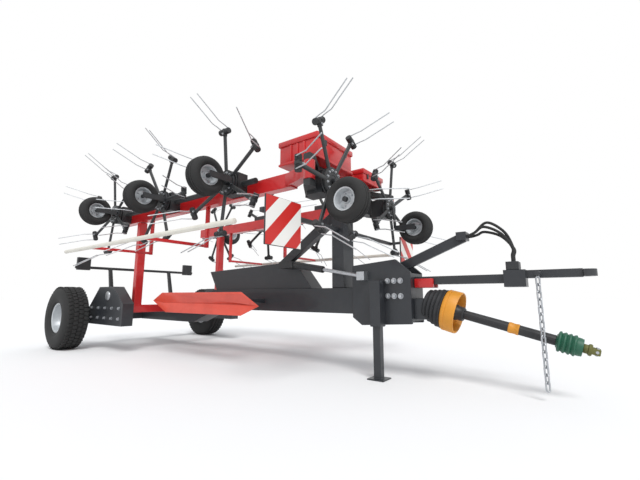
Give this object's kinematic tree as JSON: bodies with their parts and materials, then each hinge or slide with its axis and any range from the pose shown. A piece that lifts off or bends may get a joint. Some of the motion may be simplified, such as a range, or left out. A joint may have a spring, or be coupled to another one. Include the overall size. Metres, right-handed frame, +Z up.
{
  "type": "trailed hay tedder",
  "caption": "Trailed hay tedder folded on its road chassis, with spinning tine rotors, gauge wheels, folding wings, jack stand and drive shaft.",
  "frame": {"origin": "middle of the footprint, on the ground", "axes": "+X towards the tractor, +Y to the machine's left, +Z up"},
  "size_m": [6.3426, 2.845, 2.6044],
  "materials": {
    "chassis_paint": "semi-gloss dark slate paint",
    "arm_paint": "satin dark grey paint",
    "red_paint": "gloss red paint",
    "guard_paint": "gloss orange-red paint",
    "lamp_plastic": "matt black",
    "zinc_steel": "galvanised",
    "cone_plastic": "yellow-orange moulded",
    "black_plastic": "black moulded",
    "green_plastic": "green moulded",
    "olive_paint": "olive-brown forging",
    "board_paint": "white and red diagonal stripes",
    "bar_paint": "off-white",
    "tyre_rubber": "dark grey rubber",
    "rim_paint": "silver-grey",
    "hose_rubber": "black"
  },
  "bodies": {
    "chassis": {"main_beam": "chassis_paint", "upper_beam": "chassis_paint", "head_plates": "chassis_paint", "axle_beam": "chassis_paint", "rear_cradle": "red_paint", "side_guard_right": "guard_paint", "side_guard_left": "guard_paint", "lamp_bar": "lamp_plastic", "stand_sleeve": "chassis_paint", "drawbar": "chassis_paint", "towing_eye": "chassis_paint", "pto_gearbox": "chassis_paint", "pto_cone": "cone_plastic", "pto_tube": "black_plastic", "pto_end_guard": "green_plastic", "tower": "chassis_paint", "centre_frame": "arm_paint", "cover_right": "red_paint", "cover_left": "red_paint", "warning_board_right": "board_paint", "warning_board_left": "board_paint", "lift_cylinder_barrel": "arm_paint", "lift_cylinder_rod": "zinc_steel", "hose_arm": "chassis_paint", "coupler_block": "arm_paint", "hose_right": "hose_rubber", "hose_middle": "hose_rubber", "hose_left": "hose_rubber", "safety_chain": "zinc_steel"},
    "stand": {"stand_leg": "chassis_paint"},
    "pto_shaft": {"pto_yoke": "olive_paint"},
    "rotor_centre_right": {"rotor_centre_right": "arm_paint"},
    "rotor_centre_left": {"rotor_centre_left": "arm_paint"},
    "gauge_wheel_centre_right": {"gauge_wheel_centre_right": "tyre_rubber"},
    "gauge_wheel_centre_left": {"gauge_wheel_centre_left": "tyre_rubber"},
    "wing_right": {"wing_beam_right": "red_paint", "wing_drive_right": "arm_paint", "guard_bar_right": "bar_paint"},
    "rotor_right_1": {"rotor_right_1": "arm_paint"},
    "gauge_wheel_right_1": {"gauge_wheel_right_1": "tyre_rubber"},
    "rotor_right_2": {"rotor_right_2": "arm_paint"},
    "gauge_wheel_right_2": {"gauge_wheel_right_2": "tyre_rubber"},
    "rotor_right_3": {"rotor_right_3": "arm_paint"},
    "gauge_wheel_right_3": {"gauge_wheel_right_3": "tyre_rubber"},
    "wing_left": {"wing_beam_left": "red_paint", "wing_drive_left": "arm_paint", "guard_bar_left": "bar_paint"},
    "rotor_left_1": {"rotor_left_1": "arm_paint"},
    "gauge_wheel_left_1": {"gauge_wheel_left_1": "tyre_rubber"},
    "rotor_left_2": {"rotor_left_2": "arm_paint"},
    "gauge_wheel_left_2": {"gauge_wheel_left_2": "tyre_rubber"},
    "rotor_left_3": {"rotor_left_3": "arm_paint"},
    "gauge_wheel_left_3": {"gauge_wheel_left_3": "tyre_rubber"},
    "wheel_right": {"tyre_right": "tyre_rubber", "rim_right": "rim_paint"},
    "wheel_left": {"tyre_left": "tyre_rubber", "rim_left": "rim_paint"}
  },
  "joints": [
    {"name": "stand_slide", "type": "slide", "parent": "chassis", "child": "stand", "axis": [0, 0, 1], "range_m": [0, 0.35]},
    {"name": "rotor_centre_right_spin", "type": "hinge", "parent": "chassis", "child": "rotor_centre_right", "pos_m": [1.35125, -0.6, 1.73], "axis": [1, 0, 0], "continuous": true},
    {"name": "rotor_centre_left_spin", "type": "hinge", "parent": "chassis", "child": "rotor_centre_left", "pos_m": [1.35125, 0.6, 1.73], "axis": [1, 0, 0], "continuous": true},
    {"name": "pto_spin", "type": "hinge", "parent": "chassis", "child": "pto_shaft", "pos_m": [2.11425, 0, 0.608], "axis": [0.9673, 0, -0.2538], "continuous": true},
    {"name": "gauge_wheel_centre_right_spin", "type": "hinge", "parent": "chassis", "child": "gauge_wheel_centre_right", "pos_m": [1.60425, -0.74, 1.49], "axis": [0, 1, 0], "continuous": true},
    {"name": "gauge_wheel_centre_left_spin", "type": "hinge", "parent": "chassis", "child": "gauge_wheel_centre_left", "pos_m": [1.60425, 0.74, 1.49], "axis": [0, 1, 0], "continuous": true},
    {"name": "wing_fold_right", "type": "hinge", "parent": "chassis", "child": "wing_right", "pos_m": [1.26125, -0.81, 1.85], "axis": [0, 0, 1], "range_deg": [0, 90]},
    {"name": "rotor_right_1_spin", "type": "hinge", "parent": "wing_right", "child": "rotor_right_1", "pos_m": [0.27125, -0.9, 1.85], "axis": [0, -1, 0], "continuous": true},
    {"name": "gauge_wheel_right_1_spin", "type": "hinge", "parent": "wing_right", "child": "gauge_wheel_right_1", "pos_m": [0.27125, -1.153, 1.85], "axis": [1, 0, 0], "continuous": true},
    {"name": "rotor_right_2_spin", "type": "hinge", "parent": "wing_right", "child": "rotor_right_2", "pos_m": [-0.92875, -0.9, 1.85], "axis": [0, -1, 0], "continuous": true},
    {"name": "gauge_wheel_right_2_spin", "type": "hinge", "parent": "wing_right", "child": "gauge_wheel_right_2", "pos_m": [-0.92875, -1.153, 1.85], "axis": [1, 0, 0], "continuous": true},
    {"name": "rotor_right_3_spin", "type": "hinge", "parent": "wing_right", "child": "rotor_right_3", "pos_m": [-2.12875, -0.9, 1.85], "axis": [0, -1, 0], "continuous": true},
    {"name": "gauge_wheel_right_3_spin", "type": "hinge", "parent": "wing_right", "child": "gauge_wheel_right_3", "pos_m": [-2.12875, -1.153, 1.85], "axis": [1, 0, 0], "continuous": true},
    {"name": "wing_fold_left", "type": "hinge", "parent": "chassis", "child": "wing_left", "pos_m": [1.26125, 0.81, 1.85], "axis": [0, 0, -1], "range_deg": [0, 90]},
    {"name": "rotor_left_1_spin", "type": "hinge", "parent": "wing_left", "child": "rotor_left_1", "pos_m": [0.27125, 0.9, 1.85], "axis": [0, 1, 0], "continuous": true},
    {"name": "gauge_wheel_left_1_spin", "type": "hinge", "parent": "wing_left", "child": "gauge_wheel_left_1", "pos_m": [0.27125, 1.153, 1.85], "axis": [1, 0, 0], "continuous": true},
    {"name": "rotor_left_2_spin", "type": "hinge", "parent": "wing_left", "child": "rotor_left_2", "pos_m": [-0.92875, 0.9, 1.85], "axis": [0, 1, 0], "continuous": true},
    {"name": "gauge_wheel_left_2_spin", "type": "hinge", "parent": "wing_left", "child": "gauge_wheel_left_2", "pos_m": [-0.92875, 1.153, 1.85], "axis": [1, 0, 0], "continuous": true},
    {"name": "rotor_left_3_spin", "type": "hinge", "parent": "wing_left", "child": "rotor_left_3", "pos_m": [-2.12875, 0.9, 1.85], "axis": [0, 1, 0], "continuous": true},
    {"name": "gauge_wheel_left_3_spin", "type": "hinge", "parent": "wing_left", "child": "gauge_wheel_left_3", "pos_m": [-2.12875, 1.153, 1.85], "axis": [1, 0, 0], "continuous": true},
    {"name": "wheel_right_spin", "type": "hinge", "parent": "chassis", "child": "wheel_right", "pos_m": [-2.74875, -1.145, 0.4225], "axis": [0, 1, 0], "continuous": true},
    {"name": "wheel_left_spin", "type": "hinge", "parent": "chassis", "child": "wheel_left", "pos_m": [-2.74875, 1.145, 0.4225], "axis": [0, 1, 0], "continuous": true}
  ],
  "couplings": [
    {"joint": "rotor_centre_left_spin", "follows": "rotor_centre_right_spin", "ratio": -1},
    {"joint": "pto_spin", "follows": "rotor_centre_right_spin", "ratio": 3},
    {"joint": "rotor_right_1_spin", "follows": "rotor_centre_right_spin", "ratio": -1},
    {"joint": "rotor_right_2_spin", "follows": "rotor_centre_right_spin", "ratio": 1},
    {"joint": "rotor_right_3_spin", "follows": "rotor_centre_right_spin", "ratio": -1},
    {"joint": "rotor_left_1_spin", "follows": "rotor_centre_right_spin", "ratio": 1},
    {"joint": "rotor_left_2_spin", "follows": "rotor_centre_right_spin", "ratio": -1},
    {"joint": "rotor_left_3_spin", "follows": "rotor_centre_right_spin", "ratio": 1}
  ]
}
